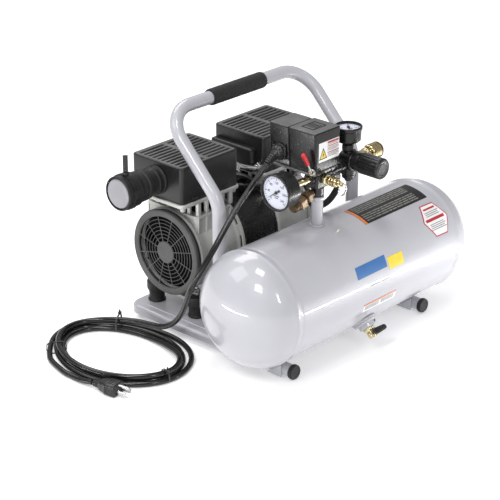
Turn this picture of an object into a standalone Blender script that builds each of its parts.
"""Portable twin-cylinder air compressor with a small horizontal tank.

Metres, +Z up.  +X runs along the tank towards the outlet, -Y is the tank's side and +Y the
pump's side.  Every part is laid out with Y measured from the tank's own axis, and hangs from
one empty that puts the origin on the floor at the middle of the compressor's footprint.
"""

import math

import bmesh
import bpy
from mathutils import Matrix, Vector

GAP = 0.0003                    # clearance between parts that touch

TANK_RADIUS = 0.080
TANK_Z = 0.100
TANK_HALF = 0.2275              # half the tank's length over both ends
TANK_SEAM = 0.170               # where the barrel meets each end
TANK_WALL = 0.0025

SKID_X = 0.1384
SKID_RADIUS = 0.009
SKID_CAP_RADIUS = 0.0105
SKID_FRONT = -0.0475
SKID_REAR = 0.2440
SKID_CAP_LENGTH = 0.0065

PLATE_TOP = 0.0228
PLATE_SHEET = 0.0015
PLATE_LIP = 0.011               # height of the folded edge's lower side
PLATE_HALF = 0.158
PLATE_FRONT = 0.035
PLATE_REAR = 0.2535

HANDLE_Y = 0.0909
HANDLE_RADIUS = 0.0093
HANDLE_KNEE_Z = 0.2145
HANDLE_LEAN = math.radians(44)
HANDLE_KNEE = 0.045
HANDLE_GRIP_Z = 0.3165
HANDLE_CORNER = 0.045
GRIP_HALF = 0.053
GRIP_RADIUS = 0.0118

PUMP_X = -0.019
PUMP_Y = 0.191
PUMP_Z = 0.1134
FLANGE_AT = 0.035               # distances along the shaft from the pump's middle
CASE_END = 0.1085
GUARD_FACE = 0.124
HEAD_AT = 0.081
MOUNT_AT = 0.1025
MOUNT_SPREAD = 0.0394
MOUNT_TOP = 0.054
FLANGE_RADIUS = 0.0705
SHELL_RADIUS = 0.068
CASE_RADIUS = 0.060
CASE_HALF_DEPTH = 0.048
CASE_TOP = 0.1745
GUARD_RADIUS = 0.0622
SHAFT_RADIUS = 0.006
BORE_RADIUS = 0.0215
HEAD_HALF_X = 0.055
HEAD_HALF_Y = 0.048
HEAD_LOW = 0.200
HEAD_TOP = 0.252
HEAD_SLOTS = 10

FILTER_Z = 0.2255
FILTER_RADIUS = 0.0242

RISER_X = -0.045
RISER_TOP = 0.222
MANIFOLD_Z = 0.250
ARM_RADIUS = 0.0062
REGULATOR_X = 0.0195
OUTLET_GAUGE_X = 0.0165

SWITCH_LOW = 0.2608
SWITCH_TOP = 0.317
SWITCH_X = -0.043
SWITCH_FRONT = -0.015
SWITCH_REAR = 0.067
LEVER_PIVOT = Vector((-0.0690, -0.010, 0.264))

DRAIN_X = -0.010
DRAIN_OUT = Vector((0.0, -math.sqrt(0.5), -math.sqrt(0.5)))
DRAIN_SIDE = Vector((0.0, -math.sqrt(0.5), math.sqrt(0.5)))
DRAIN_REACH = 0.101             # from the tank's axis to the drain valve's middle

CORD_RADIUS = 0.004
COIL_CENTRE = Vector((-0.249, 0.173, 0.0))
COIL_OUTER = (0.083, 0.112)
COIL_INNER = (0.056, 0.084)
COIL_HEIGHT = 0.0175

LOOKS = {                       # colour, roughness, metallic
    "grey_paint": ((0.60, 0.60, 0.65), 0.25, 0.0),
    "cast_alloy": ((0.42, 0.42, 0.41), 0.45, 0.6),
    "black_shell": ((0.03, 0.03, 0.03), 0.40, 0.0),
    "grey_plastic": ((0.06, 0.06, 0.063), 0.50, 0.0),
    "pale_plastic": ((0.55, 0.55, 0.58), 0.40, 0.0),
    "black_plastic": ((0.02, 0.02, 0.02), 0.45, 0.0),
    "rubber": ((0.02, 0.02, 0.02), 0.80, 0.0),
    "foam": ((0.02, 0.02, 0.02), 0.90, 0.0),
    "steel": ((0.60, 0.60, 0.60), 0.30, 1.0),
    "brass": ((0.62, 0.46, 0.20), 0.30, 1.0),
    "red_plastic": ((0.55, 0.02, 0.03), 0.35, 0.0),
    "cord": ((0.01, 0.01, 0.01), 0.30, 0.0),
}

ROOT = None                     # the empty that every part hangs from


# ---------------------------------------------------------------- shared builders

def clear_scene():
    """Remove every object that the file opened with."""
    for obj in list(bpy.data.objects):
        bpy.data.objects.remove(obj, do_unlink=True)


def dress(obj, look):
    """Give an object a material of its own and smooth shading with crisp edges."""
    colour, roughness, metallic = LOOKS[look]
    material = bpy.data.materials.new(obj.name + "_finish")
    material.use_nodes = True
    shader = material.node_tree.nodes["Principled BSDF"]
    shader.inputs["Base Color"].default_value = (*colour, 1.0)
    shader.inputs["Roughness"].default_value = roughness
    shader.inputs["Metallic"].default_value = metallic
    obj.data.materials.clear()
    obj.data.materials.append(material)
    obj.parent = ROOT
    if obj.type == "MESH":
        for polygon in obj.data.polygons:
            polygon.material_index = 0
        obj.data.shade_smooth()
        obj.data.set_sharp_from_angle(angle=math.radians(35))


def mesh_part(name, bm, look):
    """Turn a bmesh into a named part with its faces pointing out."""
    bmesh.ops.recalc_face_normals(bm, faces=bm.faces)
    mesh = bpy.data.meshes.new(name)
    bm.to_mesh(mesh)
    bm.free()
    obj = bpy.data.objects.new(name, mesh)
    bpy.context.scene.collection.objects.link(obj)
    dress(obj, look)
    return obj


def side_vectors(direction):
    """Two unit vectors square to a direction, along world axes where they can be."""
    upward = Vector((0, 0, 1)) if abs(direction.z) < 0.9 else Vector((0, 1, 0))
    across = upward.cross(direction).normalized()
    return across, direction.cross(across).normalized()


def turned(name, look, profile, start, direction, sides=24, flats=False):
    """Closed profile of (distance along, radius) points, turned about an axis.

    With flats, the radius is that of the facets' middles and not of their corners."""
    start = Vector(start)
    direction = Vector(direction).normalized()
    across, above = side_vectors(direction)
    grow = 1.0 / math.cos(math.pi / sides) if flats else 1.0
    bm = bmesh.new()
    rings = []
    for along, radius in profile:
        centre = start + direction * along
        if radius == 0.0:
            rings.append([bm.verts.new(centre)])
            continue
        ring = []
        for i in range(sides):
            angle = (i + 0.5) * math.tau / sides
            spoke = across * math.cos(angle) + above * math.sin(angle)
            ring.append(bm.verts.new(centre + spoke * radius * grow))
        rings.append(ring)
    for ring, after in zip(rings, rings[1:] + rings[:1]):
        for i in range(sides):
            j = (i + 1) % sides
            corners = [ring[i % len(ring)], ring[j % len(ring)]]
            corners += [after[j % len(after)], after[i % len(after)]]
            corners = list(dict.fromkeys(corners))
            if len(corners) > 2:
                bm.faces.new(corners)
    return mesh_part(name, bm, look)


def rod(name, look, start, direction, length, radius, sides=20):
    """Plain round bar."""
    profile = [(0.0, 0.0), (0.0, radius), (length, radius), (length, 0.0)]
    return turned(name, look, profile, start, direction, sides)


def block(name, look, low, high):
    """Plain box between two corners."""
    bm = bmesh.new()
    bmesh.ops.create_cube(bm, size=1.0)
    for vert in bm.verts:
        vert.co = Vector(lo if co < 0 else hi for co, lo, hi in zip(vert.co, low, high))
    return mesh_part(name, bm, look)


def prism(name, look, outline, axis, low, high):
    """Outline of points, extruded from low to high along a world axis."""
    bm = bmesh.new()
    layers = []
    for level in (low, high):
        layer = []
        for a, b in outline:
            point = {"X": (level, a, b), "Y": (a, level, b), "Z": (a, b, level)}[axis]
            layer.append(bm.verts.new(point))
        bm.faces.new(layer)
        layers.append(layer)
    for i in range(len(outline)):
        j = (i + 1) % len(outline)
        bm.faces.new((layers[0][i], layers[0][j], layers[1][j], layers[1][i]))
    return mesh_part(name, bm, look)


def cell_solid(name, look, us, vs, ws, kept, place):
    """Solid made of the kept cells of a grid, whose corners are put in space by place.

    Corners that land on one point are one vertex, so a grid may close on itself."""
    bm = bmesh.new()
    verts = {}
    counts = (len(us) - 1, len(vs) - 1, len(ws) - 1)

    def corner(i, j, k):
        point = place(us[i], vs[j], ws[k])
        key = tuple(round(value, 6) for value in point)
        if key not in verts:
            verts[key] = bm.verts.new(point)
        return verts[key]

    def solid(cell):
        inside = all(0 <= index < count for index, count in zip(cell, counts))
        return inside and kept(*cell)

    closed = place(us[0], vs[-1], ws[0])
    wraps = (Vector(closed) - Vector(place(us[-1], vs[-1], ws[0]))).length < 1e-6
    for i in range(counts[0]):
        for j in range(counts[1]):
            for k in range(counts[2]):
                if not solid((i, j, k)):
                    continue
                for axis in range(3):
                    for step in (0, 1):
                        beside = [i, j, k]
                        beside[axis] += 2 * step - 1
                        if wraps:
                            beside[0] %= counts[0]
                        if solid(tuple(beside)):
                            continue
                        loop = []
                        for p, q in ((0, 0), (1, 0), (1, 1), (0, 1)):
                            offset = [p, q]
                            offset.insert(axis, step)
                            loop.append(corner(i + offset[0], j + offset[1], k + offset[2]))
                        loop = list(dict.fromkeys(loop))
                        if len(loop) > 2:
                            bm.faces.new(loop)
    bmesh.ops.recalc_face_normals(bm, faces=bm.faces)
    bmesh.ops.dissolve_limit(bm, angle_limit=math.radians(1), verts=bm.verts, edges=bm.edges)
    return mesh_part(name, bm, look)


def combine(base, tool, operation):
    """Join a tool to a part, or cut it from it, and use the tool up."""
    material = base.data.materials[0]
    modifier = base.modifiers.new("shape", "BOOLEAN")
    modifier.operation = operation
    modifier.solver = "EXACT"
    modifier.object = tool
    bpy.context.view_layer.update()
    shaped = base.evaluated_get(bpy.context.evaluated_depsgraph_get())
    mesh = bpy.data.meshes.new_from_object(shaped)
    base.modifiers.remove(modifier)
    base.data = mesh
    mesh.materials.clear()
    mesh.materials.append(material)
    for polygon in mesh.polygons:
        polygon.material_index = 0
    bpy.data.objects.remove(tool)


def join(base, *tools):
    """Union of a part with some more shapes."""
    for tool in tools:
        combine(base, tool, "UNION")
    return base


def cut(base, *tools):
    """A part with some shapes cut away."""
    for tool in tools:
        combine(base, tool, "DIFFERENCE")
    return base


def smooth_curve(points, step):
    """Points about one step apart on a Catmull-Rom curve through the given points."""
    points = [Vector(point) for point in points]
    padded = [2 * points[0] - points[1]] + points + [2 * points[-1] - points[-2]]
    path = []
    for before, here, there, after in zip(padded, padded[1:], padded[2:], padded[3:]):
        count = max(1, round((there - here).length / step))
        for i in range(count):
            t = i / count
            bend = 2 * before - 5 * here + 4 * there - after
            cube = 3 * here - before - 3 * there + after
            path.append(0.5 * (2 * here + t * (there - before) + t * t * bend + t ** 3 * cube))
    return path + [points[-1]]


def round_tube(name, look, path, radius, resolution=3):
    """Curve with a round bevel and filled ends along a path of points."""
    curve = bpy.data.curves.new(name, "CURVE")
    curve.dimensions = "3D"
    curve.bevel_depth = radius
    curve.bevel_resolution = resolution
    curve.render_resolution_u = 0
    curve.use_fill_caps = True
    spline = curve.splines.new("POLY")
    spline.points.add(len(path) - 1)
    for point, place in zip(spline.points, path):
        point.co = (*place, 1.0)
    obj = bpy.data.objects.new(name, curve)
    bpy.context.scene.collection.objects.link(obj)
    dress(obj, look)
    return obj


def set_pivot(obj, pivot):
    """Put a moving part's own origin on its joint's axis."""
    obj.data.transform(Matrix.Translation(-Vector(pivot)))
    obj.location = pivot


# ---------------------------------------------------------------- tank and skid

def build_tank():
    """Rolled barrel and two half-round ends, all hollow."""
    inner = TANK_RADIUS - TANK_WALL
    barrel = [(0, inner), (0, TANK_RADIUS), (2 * TANK_SEAM, TANK_RADIUS), (2 * TANK_SEAM, inner)]
    turned("tank_barrel", "grey_paint", barrel, (-TANK_SEAM, 0, TANK_Z), (1, 0, 0), 36)
    depth = TANK_HALF - TANK_SEAM
    outside = 7
    inside = 4
    for side, name in ((-1, "left"), (1, "right")):
        profile = [(GAP, TANK_RADIUS)]
        for i in range(1, outside + 1):
            t = math.radians(90 * i / outside)
            profile.append((depth * math.sin(t), TANK_RADIUS * max(0.0, round(math.cos(t), 9))))
        for i in range(inside, -1, -1):
            t = math.radians(90 * i / inside)
            along = max(GAP, (depth - TANK_WALL) * math.sin(t))
            profile.append((along, inner * max(0.0, round(math.cos(t), 9))))
        turned("tank_end_" + name, "grey_paint", profile, (side * TANK_SEAM, 0, TANK_Z), (side, 0, 0), 36)


def build_skids():
    """Two tubes that carry the tank and the plate, with a rubber cap on each of their ends."""
    wall = 0.0015
    end = 0.0015
    socket = SKID_RADIUS + GAP
    for side, name in ((-1, "left"), (1, "right")):
        front = SKID_FRONT + end + GAP
        length = SKID_REAR - end - GAP - front
        bore = SKID_RADIUS - wall
        tube = [(0, bore), (0, SKID_RADIUS), (length, SKID_RADIUS), (length, bore)]
        turned("skid_tube_" + name, "grey_paint", tube, (side * SKID_X, front, SKID_CAP_RADIUS),
               (0, 1, 0), 16, flats=True)
        cap = [(0, 0), (0, SKID_CAP_RADIUS), (SKID_CAP_LENGTH, SKID_CAP_RADIUS),
               (SKID_CAP_LENGTH, socket), (end, socket), (end, 0)]
        for place, y, way in (("front", SKID_FRONT, 1), ("rear", SKID_REAR, -1)):
            turned("foot_cap_" + place + "_" + name, "rubber", cap,
                   (side * SKID_X, y, SKID_CAP_RADIUS), (0, way, 0), 16, flats=True)


def plate_outline(inset, front):
    """Plate's plan view, with corners rounded off at the rear."""
    half = PLATE_HALF - inset
    rear = PLATE_REAR - inset
    corner = [(half, rear - 0.017), (half - 0.004, rear - 0.009),
              (half - 0.015, rear - 0.003), (half - 0.033, rear)]
    right = [(half, front)] + corner
    return right + [(-x, y) for x, y in reversed(right)]


def build_plate():
    """Pressed plate under the pump, with its edge folded down on three sides."""
    plate = prism("base_plate", "grey_paint", plate_outline(0, PLATE_FRONT), "Z", PLATE_LIP, PLATE_TOP)
    hollow = prism("hollow", "grey_paint", plate_outline(PLATE_SHEET, PLATE_FRONT - 0.01), "Z",
                   PLATE_LIP - 0.01, PLATE_TOP - PLATE_SHEET)
    cut(plate, hollow)


def handle_path():
    """Centre line of the handle: up, leaning back, round each corner and across."""
    lean = Vector((0, math.sin(HANDLE_LEAN), math.cos(HANDLE_LEAN)))
    knee = Vector((SKID_X, HANDLE_Y, HANDLE_KNEE_Z))
    rise = (HANDLE_GRIP_Z - HANDLE_KNEE_Z) / math.cos(HANDLE_LEAN)
    reach = HANDLE_KNEE * math.tan(HANDLE_LEAN / 2)
    half = [Vector((SKID_X, HANDLE_Y, PLATE_TOP + GAP))]
    pivot = Vector((SKID_X, HANDLE_Y + HANDLE_KNEE, HANDLE_KNEE_Z - reach))
    steps = 4
    for i in range(steps + 1):
        turn = HANDLE_LEAN * i / steps
        half.append(pivot + HANDLE_KNEE * Vector((0, -math.cos(turn), math.sin(turn))))
    corner = knee + lean * (rise - HANDLE_CORNER) - Vector((HANDLE_CORNER, 0, 0))
    steps = 7
    for i in range(steps + 1):
        turn = math.radians(90 * i / steps)
        half.append(corner + HANDLE_CORNER * (Vector((math.cos(turn), 0, 0)) + lean * math.sin(turn)))
    return half + [Vector((-point.x, point.y, point.z)) for point in reversed(half)]


def build_handle():
    """Bent tube handle and the foam grip on its crossbar."""
    path = handle_path()
    round_tube("handle_tube", "grey_paint", path, HANDLE_RADIUS, 2)
    bar_y = path[len(path) // 2].y
    bore = HANDLE_RADIUS + 2 * GAP
    grip = [(0, bore), (0, GRIP_RADIUS), (2 * GRIP_HALF, GRIP_RADIUS), (2 * GRIP_HALF, bore)]
    turned("handle_grip", "foam", grip, (-GRIP_HALF, bar_y, HANDLE_GRIP_Z), (1, 0, 0), 20)


# ---------------------------------------------------------------- pump and motor

def along_shaft(name, look, side, profile, sides=32):
    """Turned part on the pump's shaft, measured outwards from the pump's middle."""
    return turned(name, look, profile, (PUMP_X, PUMP_Y, PUMP_Z), (side, 0, 0), sides)


def build_mounts():
    """Four rubber cups between the plate and the pump's feet."""
    height = MOUNT_TOP - PLATE_TOP - GAP
    profile = [(0, 0), (0, 0.0125), (0.010, 0.0115), (0.018, 0.0140), (height, 0.0140), (height, 0)]
    for side, name in ((-1, "left"), (1, "right")):
        for way, place in ((-1, "front"), (1, "rear")):
            start = (PUMP_X + side * MOUNT_AT, PUMP_Y + way * MOUNT_SPREAD, PLATE_TOP + GAP)
            turned("rubber_mount_" + place + "_" + name, "rubber", profile, start, (0, 0, 1), 16)


def build_motor():
    """Shell, stator, and the shaft with its rotor core and two crank cams."""
    half = FLANGE_AT - GAP
    inner = SHELL_RADIUS - 0.0025
    shell = [(-half, inner), (-half, SHELL_RADIUS), (half, SHELL_RADIUS), (half, inner)]
    along_shaft("motor_shell", "black_shell", 1, shell)
    stack = 0.026
    stator_bore = 0.0345
    stator_radius = inner - 0.0006
    stator = [(-stack, stator_bore), (-stack, stator_radius), (stack, stator_radius), (stack, stator_bore)]
    along_shaft("motor_stator", "steel", 1, stator)
    core = stator_bore - 0.0010
    end = CASE_END + 0.0025
    shaft = along_shaft("rotor_shaft", "steel", 1, [
        (-end, 0), (-end, SHAFT_RADIUS), (-stack, SHAFT_RADIUS), (-stack, core),
        (stack, core), (stack, SHAFT_RADIUS), (end, SHAFT_RADIUS), (end, 0)], 20)
    for side in (-1, 1):
        start = (PUMP_X + side * (HEAD_AT - 0.005), PUMP_Y + 0.005, PUMP_Z)
        join(shaft, rod("cam", "steel", start, (side, 0, 0), 0.010, 0.012))
    set_pivot(shaft, (PUMP_X, PUMP_Y, PUMP_Z))


def build_crankcase(side, name):
    """Cast case: motor flange, drum, square deck under the cylinder and two feet."""
    flange = FLANGE_AT + 0.004
    case = along_shaft("crankcase_" + name, "cast_alloy", side, [
        (FLANGE_AT, 0), (FLANGE_AT, FLANGE_RADIUS), (flange, FLANGE_RADIUS),
        (flange, CASE_RADIUS), (CASE_END, CASE_RADIUS), (CASE_END, 0)])
    near = PUMP_X + side * (flange + 0.0015)
    far = PUMP_X + side * (CASE_END - 0.001)
    left, right = sorted((near, far))
    deck = block("deck", "cast_alloy", (left, PUMP_Y - CASE_HALF_DEPTH, PUMP_Z),
                 (right, PUMP_Y + CASE_HALF_DEPTH, CASE_TOP))
    foot_x = PUMP_X + side * (MOUNT_AT - 0.003)
    foot_half = 0.0085
    foot_low = MOUNT_TOP + GAP
    foot = block("foot", "cast_alloy", (foot_x - foot_half, PUMP_Y - 0.0535, foot_low),
                 (foot_x + foot_half, PUMP_Y + 0.0535, foot_low + 0.0045))
    join(case, deck, foot)
    for way in (-1, 1):
        web = block("web", "cast_alloy", (foot_x - 0.004, PUMP_Y + way * 0.034 - 0.003, foot_low + 0.002),
                    (foot_x + 0.004, PUMP_Y + way * 0.034 + 0.003, PUMP_Z - 0.0466))
        join(case, web)
    hollow = along_shaft("hollow", "cast_alloy", side, [
        (FLANGE_AT - 0.001, 0), (FLANGE_AT - 0.001, 0.0555), (CASE_END - 0.006, 0.0555),
        (CASE_END - 0.006, 0.0085), (CASE_END + 0.001, 0.0085), (CASE_END + 0.001, 0)])
    bore = rod("bore", "cast_alloy", (PUMP_X + side * HEAD_AT, PUMP_Y, PUMP_Z + 0.03), (0, 0, 1),
               0.05, BORE_RADIUS + GAP)
    cut(case, join(hollow, bore))


def build_cylinder(side, name):
    """Bored sleeve under a square head plate, inside a row of upright bars."""
    centre_x = PUMP_X + side * HEAD_AT
    foot = CASE_TOP + GAP
    plate_low = 0.1945
    plate_top = HEAD_LOW - GAP
    edge = 0.002
    plate = block("cylinder_" + name, "cast_alloy",
                  (centre_x - HEAD_HALF_X - edge, PUMP_Y - HEAD_HALF_Y - edge, plate_low),
                  (centre_x + HEAD_HALF_X + edge, PUMP_Y + HEAD_HALF_Y + edge, plate_top))
    join(plate, rod("sleeve", "cast_alloy", (centre_x, PUMP_Y, foot), (0, 0, 1), 0.022, 0.026))
    bars = 5
    bar_half = 0.002
    middle = PUMP_X + side * (FLANGE_AT + CASE_END) / 2
    reach = 0.031
    for way in (-1, 1):
        for i in range(bars):
            x = middle - reach + 2 * reach * i / (bars - 1)
            y = PUMP_Y + way * (CASE_HALF_DEPTH - 0.002)
            join(plate, block("bar", "cast_alloy", (x - bar_half, y - bar_half, foot),
                              (x + bar_half, y + bar_half, plate_low + 0.001)))
    bore = rod("bore", "cast_alloy", (centre_x, PUMP_Y, foot - 0.01), (0, 0, 1), 0.05, BORE_RADIUS)
    cut(plate, bore)


def build_piston(side, name):
    """Cup piston with its own rod, part of the way up its stroke."""
    centre = (PUMP_X + side * HEAD_AT, PUMP_Y, 0.150)
    crown = 0.0405
    skirt = 0.0325
    piston = turned("piston_" + name, "steel", [
        (0, 0), (0, 0.005), (skirt, 0.005), (skirt, BORE_RADIUS - 0.0004),
        (crown, BORE_RADIUS - 0.0004), (crown, 0)], centre, (0, 0, 1), 24)
    set_pivot(piston, centre)


def build_head_cover(side, name):
    """Box cowl over a cylinder head, with two columns of slots in its top."""
    wall = 0.0025
    rib = 0.0035
    border = 0.006
    centre_x = PUMP_X + side * HEAD_AT
    us = [-HEAD_HALF_X, -HEAD_HALF_X + wall, -HEAD_HALF_X + border, -rib,
          rib, HEAD_HALF_X - border, HEAD_HALF_X - wall, HEAD_HALF_X]
    pitch = 2 * (HEAD_HALF_Y - border) / HEAD_SLOTS
    vs = [-HEAD_HALF_Y, -HEAD_HALF_Y + wall]
    for i in range(HEAD_SLOTS):
        middle = -HEAD_HALF_Y + border + pitch * (i + 0.5)
        vs += [middle - 0.28 * pitch, middle + 0.28 * pitch]
    vs += [HEAD_HALF_Y - wall, HEAD_HALF_Y]
    ws = [HEAD_LOW, HEAD_TOP - wall, HEAD_TOP]

    def kept(i, j, k):
        if k == 0:
            return i in (0, 6) or j in (0, len(vs) - 2)
        slot = i in (2, 4) and j % 2 == 0 and 2 <= j <= 2 * HEAD_SLOTS
        return not slot

    cover = cell_solid("head_cover_" + name, "grey_plastic", us, vs, ws, kept,
                       lambda u, v, w: (centre_x + u, PUMP_Y + v, w))
    if side > 0:
        face = centre_x - HEAD_HALF_X
        join(cover, block("duct", "grey_plastic", (face - 0.012, PUMP_Y - 0.034, HEAD_LOW + 0.0005),
                          (face + 0.001, PUMP_Y + 0.044, 0.235)))
    return cover


def build_fan_guard(side, name):
    """Round guard: a rim, a hub, twelve spokes and one ring, in front of a deep band."""
    spokes = 12
    spoke_half = math.radians(2.2)
    angles = []
    for i in range(spokes):
        middle = math.tau * i / spokes
        angles += [middle - spoke_half, middle + spoke_half]
    angles.append(angles[0] + math.tau)
    radii = [0.0, 0.015, 0.032, 0.035, 0.052, 0.0585, GUARD_RADIUS]
    depths = [CASE_END + 0.0015, GUARD_FACE - 0.0025, GUARD_FACE]

    def kept(i, j, k):
        if k == 0:
            return j == 5
        return j in (0, 2, 4, 5) or i % 2 == 0

    def place(angle, radius, along):
        return (PUMP_X + side * along, PUMP_Y + radius * math.cos(angle), PUMP_Z + radius * math.sin(angle))

    cell_solid("fan_guard_" + name, "grey_plastic", angles, radii, depths, kept, place)


def build_fan(side, name):
    """Cooling fan: a hub with eight flat blades."""
    blades = 8
    hub = 0.014
    tip = 0.047
    half = 0.0015
    outline = []
    for i in range(blades):
        turn = Matrix.Rotation(math.tau * i / blades, 2)
        root = math.sqrt(hub ** 2 - half ** 2)
        for along, across in ((root, -half), (tip, -half), (tip, half), (root, half)):
            corner = turn @ Vector((along, across))
            outline.append((PUMP_Y + corner.x, PUMP_Z + corner.y))
    low = PUMP_X + side * (CASE_END + 0.0028)
    high = PUMP_X + side * (GUARD_FACE - 0.0035)
    fan = prism("fan_" + name, "black_plastic", outline, "X", low, high)
    set_pivot(fan, (PUMP_X, PUMP_Y, PUMP_Z))


def build_intake():
    """Intake filter on the left head cover: ribbed rubber body and a pale end cap."""
    face = PUMP_X - HEAD_AT - HEAD_HALF_X - GAP
    end = TANK_HALF + face              # distance from the cover's face to the canister's mouth
    start = (face, PUMP_Y, FILTER_Z)
    socket = 0.0213
    turned("intake_filter_body", "rubber", [
        (0, 0), (0, 0.0195), (0.022, 0.0195), (0.028, 0.0215), (0.044, 0.0215), (0.046, FILTER_RADIUS),
        (end - 0.002, FILTER_RADIUS), (end - 0.002, socket), (end - 0.016, socket), (end - 0.016, 0)],
        start, (-1, 0, 0), 24)
    turned("intake_filter_cap", "pale_plastic", [
        (end - 0.0155, 0), (end - 0.0155, socket - 0.0006), (end - 0.003, socket - 0.0006),
        (end - 0.001, 0.0185), (end, 0.012), (end, 0)], start, (-1, 0, 0), 24)


def build_pipes():
    """Crossover between the heads, the hose to the manifold and the motor's lead."""
    left_face = PUMP_X - HEAD_AT + HEAD_HALF_X + GAP
    right_face = PUMP_X + HEAD_AT - HEAD_HALF_X - GAP
    crossover = [(left_face, 0.152, 0.222), (left_face + 0.008, 0.152, 0.222), (-0.026, 0.1465, 0.2185),
                 (-0.012, 0.1465, 0.2135), (right_face - 0.008, 0.150, 0.210), (right_face, 0.150, 0.210)]
    round_tube("crossover_tube", "steel", smooth_curve(crossover, 0.006), 0.0035, 2)
    hose = [(-0.008, 0.0, 0.2418), (-0.008, 0.0, 0.2340), (0.0080, 0.010, 0.2150), (0.0125, 0.030, 0.1880),
            (0.0180, 0.055, 0.1740), (0.0270, 0.100, 0.1740), (0.0300, 0.1385, 0.1835)]
    round_tube("discharge_hose", "rubber", smooth_curve(hose, 0.008), 0.0045, 2)
    lead = [(-0.0280, 0.052, 0.2560), (-0.0280, 0.052, 0.2480), (-0.0240, 0.070, 0.2220),
            (-0.0190, 0.108, 0.1980), (-0.0190, 0.142, 0.1900), (-0.0190, 0.163, 0.1815)]
    round_tube("motor_lead", "black_plastic", smooth_curve(lead, 0.008), 0.0035, 2)


# ---------------------------------------------------------------- manifold and controls

def tank_cutter():
    """Cylinder a gap larger than the tank, for the foot of whatever is welded to it."""
    return rod("tank_cutter", "steel", (-0.1, 0, TANK_Z), (1, 0, 0), 0.2, TANK_RADIUS + GAP, 36)


def build_riser():
    """Short pipe that stands on the tank under the manifold."""
    start = TANK_Z + TANK_RADIUS - 0.004
    top = RISER_TOP - start
    riser = turned("riser_pipe", "grey_paint", [
        (0, 0), (0, 0.0080), (top - 0.005, 0.0080), (top - 0.005, 0.0092), (top, 0.0092), (top, 0)],
        (RISER_X, 0, start), (0, 0, 1), 24)
    cut(riser, tank_cutter())


def build_manifold():
    """Black hub on the riser, with an arm out to the regulator, and the brass check valve."""
    hub = block("manifold_hub", "black_plastic", (-0.060, -0.0117, 0.2363), (-0.030, 0.0117, 0.2563))
    join(hub, rod("neck", "black_plastic", (RISER_X, 0, RISER_TOP + GAP), (0, 0, 1), 0.016, 0.0088),
         rod("arm", "black_plastic", (-0.032, 0, MANIFOLD_Z), (1, 0, 0), 0.0365, ARM_RADIUS))
    tilt = math.radians(17)
    turned("check_valve", "brass", [
        (0, 0), (0, 0.0055), (0.006, 0.0055), (0.006, 0.0075), (0.013, 0.0075), (0.013, 0.0058),
        (0.018, 0.0058), (0.018, 0.0090), (0.030, 0.0090), (0.032, 0.0068), (0.040, 0.0068), (0.040, 0)],
        (-0.0565, 0, 0.2290), (-math.cos(tilt), 0, -math.sin(tilt)), 12)


def build_gauge(name, start, direction, neck, needle_turn, radius, depth):
    """Dial gauge: stem and cup in one piece, and a needle that turns over its floor."""
    direction = Vector(direction)
    stem = 0.0052
    bezel = radius
    mouth = radius - 0.0022
    floor = neck + depth - 0.0045
    turned(name + "_gauge_case", "black_shell", [
        (0, 0), (0, stem), (neck - 0.012, stem), (neck - 0.012, 0.0080), (neck - 0.004, 0.0080),
        (neck - 0.004, stem), (neck, stem), (neck, radius - 0.0015), (neck + depth - 0.006, radius - 0.0015),
        (neck + depth - 0.004, bezel), (neck + depth, bezel), (neck + depth, mouth), (floor, mouth),
        (floor, 0)], start, direction, 24)
    bm = bmesh.new()
    across, above = side_vectors(direction)
    centre = Vector(start) + direction * (floor + GAP)
    thick = 0.0008
    length = mouth - 0.004
    tail = 0.35 * length
    half = 0.0008
    pointer = across * math.cos(needle_turn) + above * math.sin(needle_turn)
    beside = direction.cross(pointer)
    layers = []
    for level in (0.0, thick):
        corners = [pointer * length, beside * half, -pointer * tail, -beside * half]
        layer = [bm.verts.new(centre + direction * level + corner) for corner in corners]
        bm.faces.new(layer)
        layers.append(layer)
    for i in range(4):
        j = (i + 1) % 4
        bm.faces.new((layers[0][i], layers[0][j], layers[1][j], layers[1][i]))
    needle = mesh_part(name + "_gauge_needle", bm, "black_shell")
    set_pivot(needle, centre)


def build_outlet():
    """Regulator with its knob, and the quick coupler with its sliding sleeve."""
    body = rod("regulator_body", "black_plastic", (REGULATOR_X, 0, 0.2290), (0, 0, 1), 0.0400, 0.0110)
    bonnet = rod("bonnet", "black_plastic", (REGULATOR_X, -0.0117, 0.2550), (0, 1, 0), 0.0237, 0.0140)
    left = rod("left", "black_plastic", (0.0048, 0, MANIFOLD_Z), (1, 0, 0), 0.010, ARM_RADIUS)
    right = rod("right", "black_plastic", (0.0260, 0, 0.2530), (1, 0, 0), 0.010, 0.0075)
    join(body, bonnet, left, right)
    knob_start = (REGULATOR_X, -0.0120, 0.2560)
    knob = turned("regulator_knob", "black_plastic", [
        (0, 0), (0, 0.0125), (0.010, 0.0145), (0.044, 0.0145), (0.046, 0.0130), (0.046, 0)],
        knob_start, (0, -1, 0), 24)
    set_pivot(knob, knob_start)
    start = (0.0363, 0, 0.2530)
    bore = 0.0045
    turned("coupler_body", "brass", [
        (0, 0), (0, 0.0082), (0.010, 0.0082), (0.010, 0.0066), (0.015, 0.0066), (0.017, 0.0090),
        (0.0195, 0.0090), (0.0195, 0.0076), (0.0445, 0.0076), (0.0445, 0.0092), (0.0467, 0.0092),
        (0.0467, bore), (0.028, bore), (0.028, 0)], start, (1, 0, 0), 24)
    sleeve_start = (0.0605, 0, 0.2530)
    sleeve = turned("coupler_sleeve", "brass", [
        (0, 0.0080), (0, 0.0105), (0.004, 0.0112), (0.0165, 0.0112), (0.0195, 0.0104), (0.0195, 0.0080)],
        sleeve_start, (1, 0, 0), 24)
    set_pivot(sleeve, sleeve_start)


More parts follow.
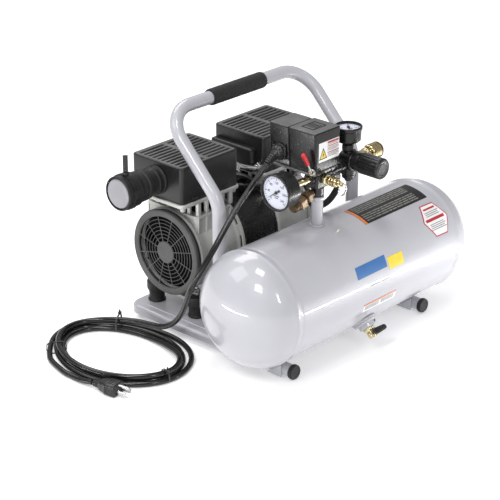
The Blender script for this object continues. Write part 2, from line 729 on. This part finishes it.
def build_safety_valve():
    """Brass relief valve with a sprung pull stem and a wire ring through it."""
    start = (RISER_X, -0.0120, MANIFOLD_Z - 0.001)
    turned("safety_valve_body", "brass", [
        (0, 0), (0, 0.0072), (0.006, 0.0072), (0.006, 0.0055), (0.010, 0.0055), (0.010, 0.0068),
        (0.021, 0.0068), (0.0225, 0.0050), (0.0225, 0)], start, (0, -1, 0), 16)
    pull_y = start[1] - 0.0225 - GAP
    pull = rod("safety_valve_pull", "brass", (RISER_X, pull_y, start[2]), (0, -1, 0), 0.004, 0.0042, 16)
    eye_y = pull_y - 0.0075
    tongue = block("tongue", "brass", (RISER_X - 0.001, eye_y - 0.0028, start[2] - 0.0028),
                   (RISER_X + 0.001, pull_y - 0.002, start[2] + 0.0028))
    eye = rod("eye", "brass", (RISER_X - 0.005, eye_y, start[2]), (1, 0, 0), 0.010, 0.0016, 12)
    cut(join(pull, tongue), eye)
    set_pivot(pull, (RISER_X, eye_y, start[2]))
    radius = 0.0075
    wire = 0.0008
    bm = bmesh.new()
    around = 24
    section = 6
    rings = []
    for i in range(around):
        angle = math.tau * i / around
        out = Vector((math.sin(angle), 0, math.cos(angle)))
        centre = Vector((RISER_X, eye_y, start[2] - radius)) + out * radius
        ring = []
        for j in range(section):
            turn = math.tau * j / section
            ring.append(bm.verts.new(centre + wire * (out * math.cos(turn) + Vector((0, math.sin(turn), 0)))))
        rings.append(ring)
    for ring, after in zip(rings, rings[1:] + rings[:1]):
        for j in range(section):
            k = (j + 1) % section
            bm.faces.new((ring[j], ring[k], after[k], after[j]))
    loop = mesh_part("safety_valve_ring", bm, "steel")
    set_pivot(loop, (RISER_X, eye_y, start[2]))


def build_switch():
    """Pressure switch: base plate, tapered hollow cover, toggle lever and cord gland."""
    block("switch_base", "black_shell", (SWITCH_X - 0.023, -0.0115, 0.2566), (SWITCH_X + 0.023, 0.064, 0.2605))
    wall = 0.0020
    top_half = 0.026
    bottom_half = 0.022
    us = [-1.0, -1.0 + wall / top_half, 1.0 - wall / top_half, 1.0]
    vs = [SWITCH_FRONT, SWITCH_FRONT + wall, SWITCH_REAR - wall, SWITCH_REAR]
    ws = [SWITCH_LOW, SWITCH_TOP - wall, SWITCH_TOP]

    def place(u, v, w):
        rise = (w - SWITCH_LOW) / (SWITCH_TOP - SWITCH_LOW)
        return (SWITCH_X + u * (bottom_half + (top_half - bottom_half) * rise), v, w)

    cell_solid("switch_cover", "grey_plastic", us, vs, ws,
               lambda i, j, k: k == 1 or i in (0, 2) or j in (0, 2), place)

    hub = rod("switch_lever", "red_plastic", LEVER_PIVOT + Vector((0.0028, 0, 0)), (-1, 0, 0),
              0.0040, 0.0045, 16)
    lean = Vector((-0.009, 0.008, 0.027))
    stick = turned("stick", "red_plastic", [
        (0, 0), (0, 0.0016), (0.010, 0.0016), (0.012, 0.0030), (0.026, 0.0036), (lean.length, 0.0022),
        (lean.length, 0)], LEVER_PIVOT, lean, 12)
    set_pivot(join(hub, stick), LEVER_PIVOT)


def cord_route():
    """Way of the supply cord from its gland, past the handle's leg, down to its coil."""
    return [(-0.0872, 0.0522, 0.2648), (-0.1010, 0.0545, 0.2515), (-0.1200, 0.0570, 0.2330),
            (-0.1390, 0.0595, 0.2140), (-0.1600, 0.0610, 0.1905), (-0.1780, 0.0635, 0.1670),
            (-0.1915, 0.0700, 0.1440), (-0.1990, 0.0800, 0.1210), (-0.1975, 0.0910, 0.1010),
            (-0.1915, 0.1035, 0.0810), (-0.1842, 0.1180, 0.0600), (-0.1812, 0.1310, 0.0440),
            (-0.1818, 0.1440, 0.0325), (-0.1838, 0.1585, 0.0254)]


def build_gland():
    """Nut on the switch and a tapering sleeve that points the way the cord goes."""
    nut = turned("cord_gland", "black_plastic", [
        (0, 0), (0, 0.0100), (0.003, 0.0100), (0.004, 0.0085), (0.008, 0.0070), (0.008, 0)],
        (-0.0672, 0.0484, 0.2780), (-1, 0, 0), 20)
    nose = Vector(cord_route()[0])
    root = Vector((-0.0710, 0.0484, 0.2780))
    way = nose - root
    reach = way.length - 4 * GAP
    sleeve = turned("sleeve", "black_plastic", [
        (0, 0), (0, 0.0066), (reach, 0.0050), (reach, 0)], root, way, 16)
    join(nut, sleeve)


def build_cord():
    """Supply cord as it lies: its free stretch, its coil, its tail and its plug."""
    round_tube("cord_tube", "cord", smooth_curve(cord_route(), 0.020), CORD_RADIUS, 2)
    bm = bmesh.new()
    around = 36
    edge = 0.004
    rings = []
    for i in range(around):
        angle = math.tau * i / around
        ring = []
        for inward, height in ((0, edge), (0, COIL_HEIGHT - edge), (edge, COIL_HEIGHT),
                               (-edge, COIL_HEIGHT), (0, COIL_HEIGHT - edge), (0, edge),
                               (-edge, 0), (edge, 0)):
            outside = len(ring) in (0, 1, 2, 7)
            axes = COIL_OUTER if outside else COIL_INNER
            point = Vector(((axes[0] - inward) * math.cos(angle), (axes[1] - inward) * math.sin(angle), height))
            ring.append(bm.verts.new(COIL_CENTRE + point))
        rings.append(ring)
    for ring, after in zip(rings, rings[1:] + rings[:1]):
        for j in range(8):
            k = (j + 1) % 8
            bm.faces.new((ring[j], ring[k], after[k], after[j]))
    mesh_part("cord_coil", bm, "cord")
    tail = [(-0.3366, 0.190, 0.0043), (-0.3376, 0.172, 0.0043), (-0.3378, 0.157, 0.0048),
            (-0.3371, 0.1440, 0.0066), (-0.3353, 0.1335, 0.0083)]
    round_tube("cord_tail", "cord", smooth_curve(tail, 0.010), CORD_RADIUS, 2)
    build_plug()


def build_plug():
    """Moulded three-blade plug that lies on the floor beside the coil."""
    start = Vector((-0.3348, 0.1316, 0.0085))
    way = Vector((0.20, -0.98, 0.0)).normalized()
    plug = turned("plug", "black_plastic", [
        (0, 0), (0, 0.0052), (0.0120, 0.0060), (0.0120, 0)], start, way, 12)
    across = Vector((0, 0, 1)).cross(way)

    def slab(name, near, far, half_near, half_far, low, high):
        """Piece of the moulding between two distances along the plug."""
        bm = bmesh.new()
        corners = []
        for along, half in ((near, half_near), (far, half_far)):
            for height in (low, high):
                for sign in (-1, 1):
                    point = start + way * along + across * half * sign
                    corners.append(bm.verts.new((point.x, point.y, height)))
        for loop in ((0, 1, 3, 2), (4, 5, 7, 6), (0, 1, 5, 4), (2, 3, 7, 6), (0, 2, 6, 4), (1, 3, 7, 5)):
            bm.faces.new([corners[index] for index in loop])
        return mesh_part(name, bm, "black_plastic")

    join(plug, slab("waist", 0.0105, 0.0225, 0.0062, 0.0102, 0.0015, 0.0160),
         slab("body", 0.0220, 0.0400, 0.0105, 0.0120, 0.0003, 0.0175))
    for sign in (-1, 1):
        blade = slab("blade", 0.0385, 0.0550, 0.0008, 0.0008, 0.0060, 0.0122)
        blade.data.transform(Matrix.Translation(across * sign * 0.0063))
        join(plug, blade)


def build_drain():
    """Drain valve under the tank's front, with a quarter-turn lever and a side outlet."""
    axis_point = Vector((DRAIN_X, 0, TANK_Z))
    boss_end = 0.0945
    body = turned("drain_valve_body", "brass", [
        (0.076, 0), (0.076, 0.0070), (boss_end, 0.0070), (boss_end, 0.0055), (0.1065, 0.0055), (0.1065, 0)],
        axis_point, DRAIN_OUT, 16)
    middle = axis_point + DRAIN_OUT * DRAIN_REACH
    join(body, rod("outlet", "brass", middle, (1, 0, 0), 0.0220, 0.0034, 12))
    cut(body, tank_cutter())
    pivot = middle + DRAIN_SIDE * 0.0058
    lever = rod("drain_lever", "black_plastic", pivot, DRAIN_SIDE, 0.0028, 0.0040, 16)
    bm = bmesh.new()
    layers = []
    for height in (0.0014, 0.0070):
        layer = []
        for x, half in ((-0.004, 0.0042), (0.019, 0.0038)):
            for sign in (-1, 1) if x < 0 else (1, -1):
                point = pivot + DRAIN_SIDE * height + Vector((x, 0, 0)) + DRAIN_OUT * half * sign
                layer.append(bm.verts.new(point))
        bm.faces.new(layer)
        layers.append(layer)
    for i in range(4):
        j = (i + 1) % 4
        bm.faces.new((layers[0][i], layers[0][j], layers[1][j], layers[1][i]))
    set_pivot(join(lever, mesh_part("blade", bm, "black_plastic")), pivot)


def build_compressor():
    """Build every part under one empty that centres the footprint."""
    global ROOT
    clear_scene()
    ROOT = bpy.data.objects.new("compressor", None)
    bpy.context.scene.collection.objects.link(ROOT)
    build_tank()
    build_skids()
    build_plate()
    build_handle()
    build_mounts()
    build_motor()
    for side, name in ((-1, "left"), (1, "right")):
        build_crankcase(side, name)
        build_cylinder(side, name)
        build_piston(side, name)
        build_head_cover(side, name)
        build_fan_guard(side, name)
        build_fan(side, name)
    build_intake()
    build_pipes()
    build_riser()
    build_manifold()
    build_gauge("tank", (-0.0603, 0, MANIFOLD_Z), (-1, 0, 0), 0.0417, math.radians(215), 0.0250, 0.0280)
    build_gauge("outlet", (OUTLET_GAUGE_X, 0, 0.2693), (0, 0, 1), 0.0127, math.radians(225), 0.0190, 0.0225)
    build_outlet()
    build_safety_valve()
    build_switch()
    build_gland()
    build_cord()
    build_drain()
    ROOT.location.y = (TANK_RADIUS - PUMP_Y - FLANGE_RADIUS) / 2
    bpy.context.view_layer.update()


build_compressor()
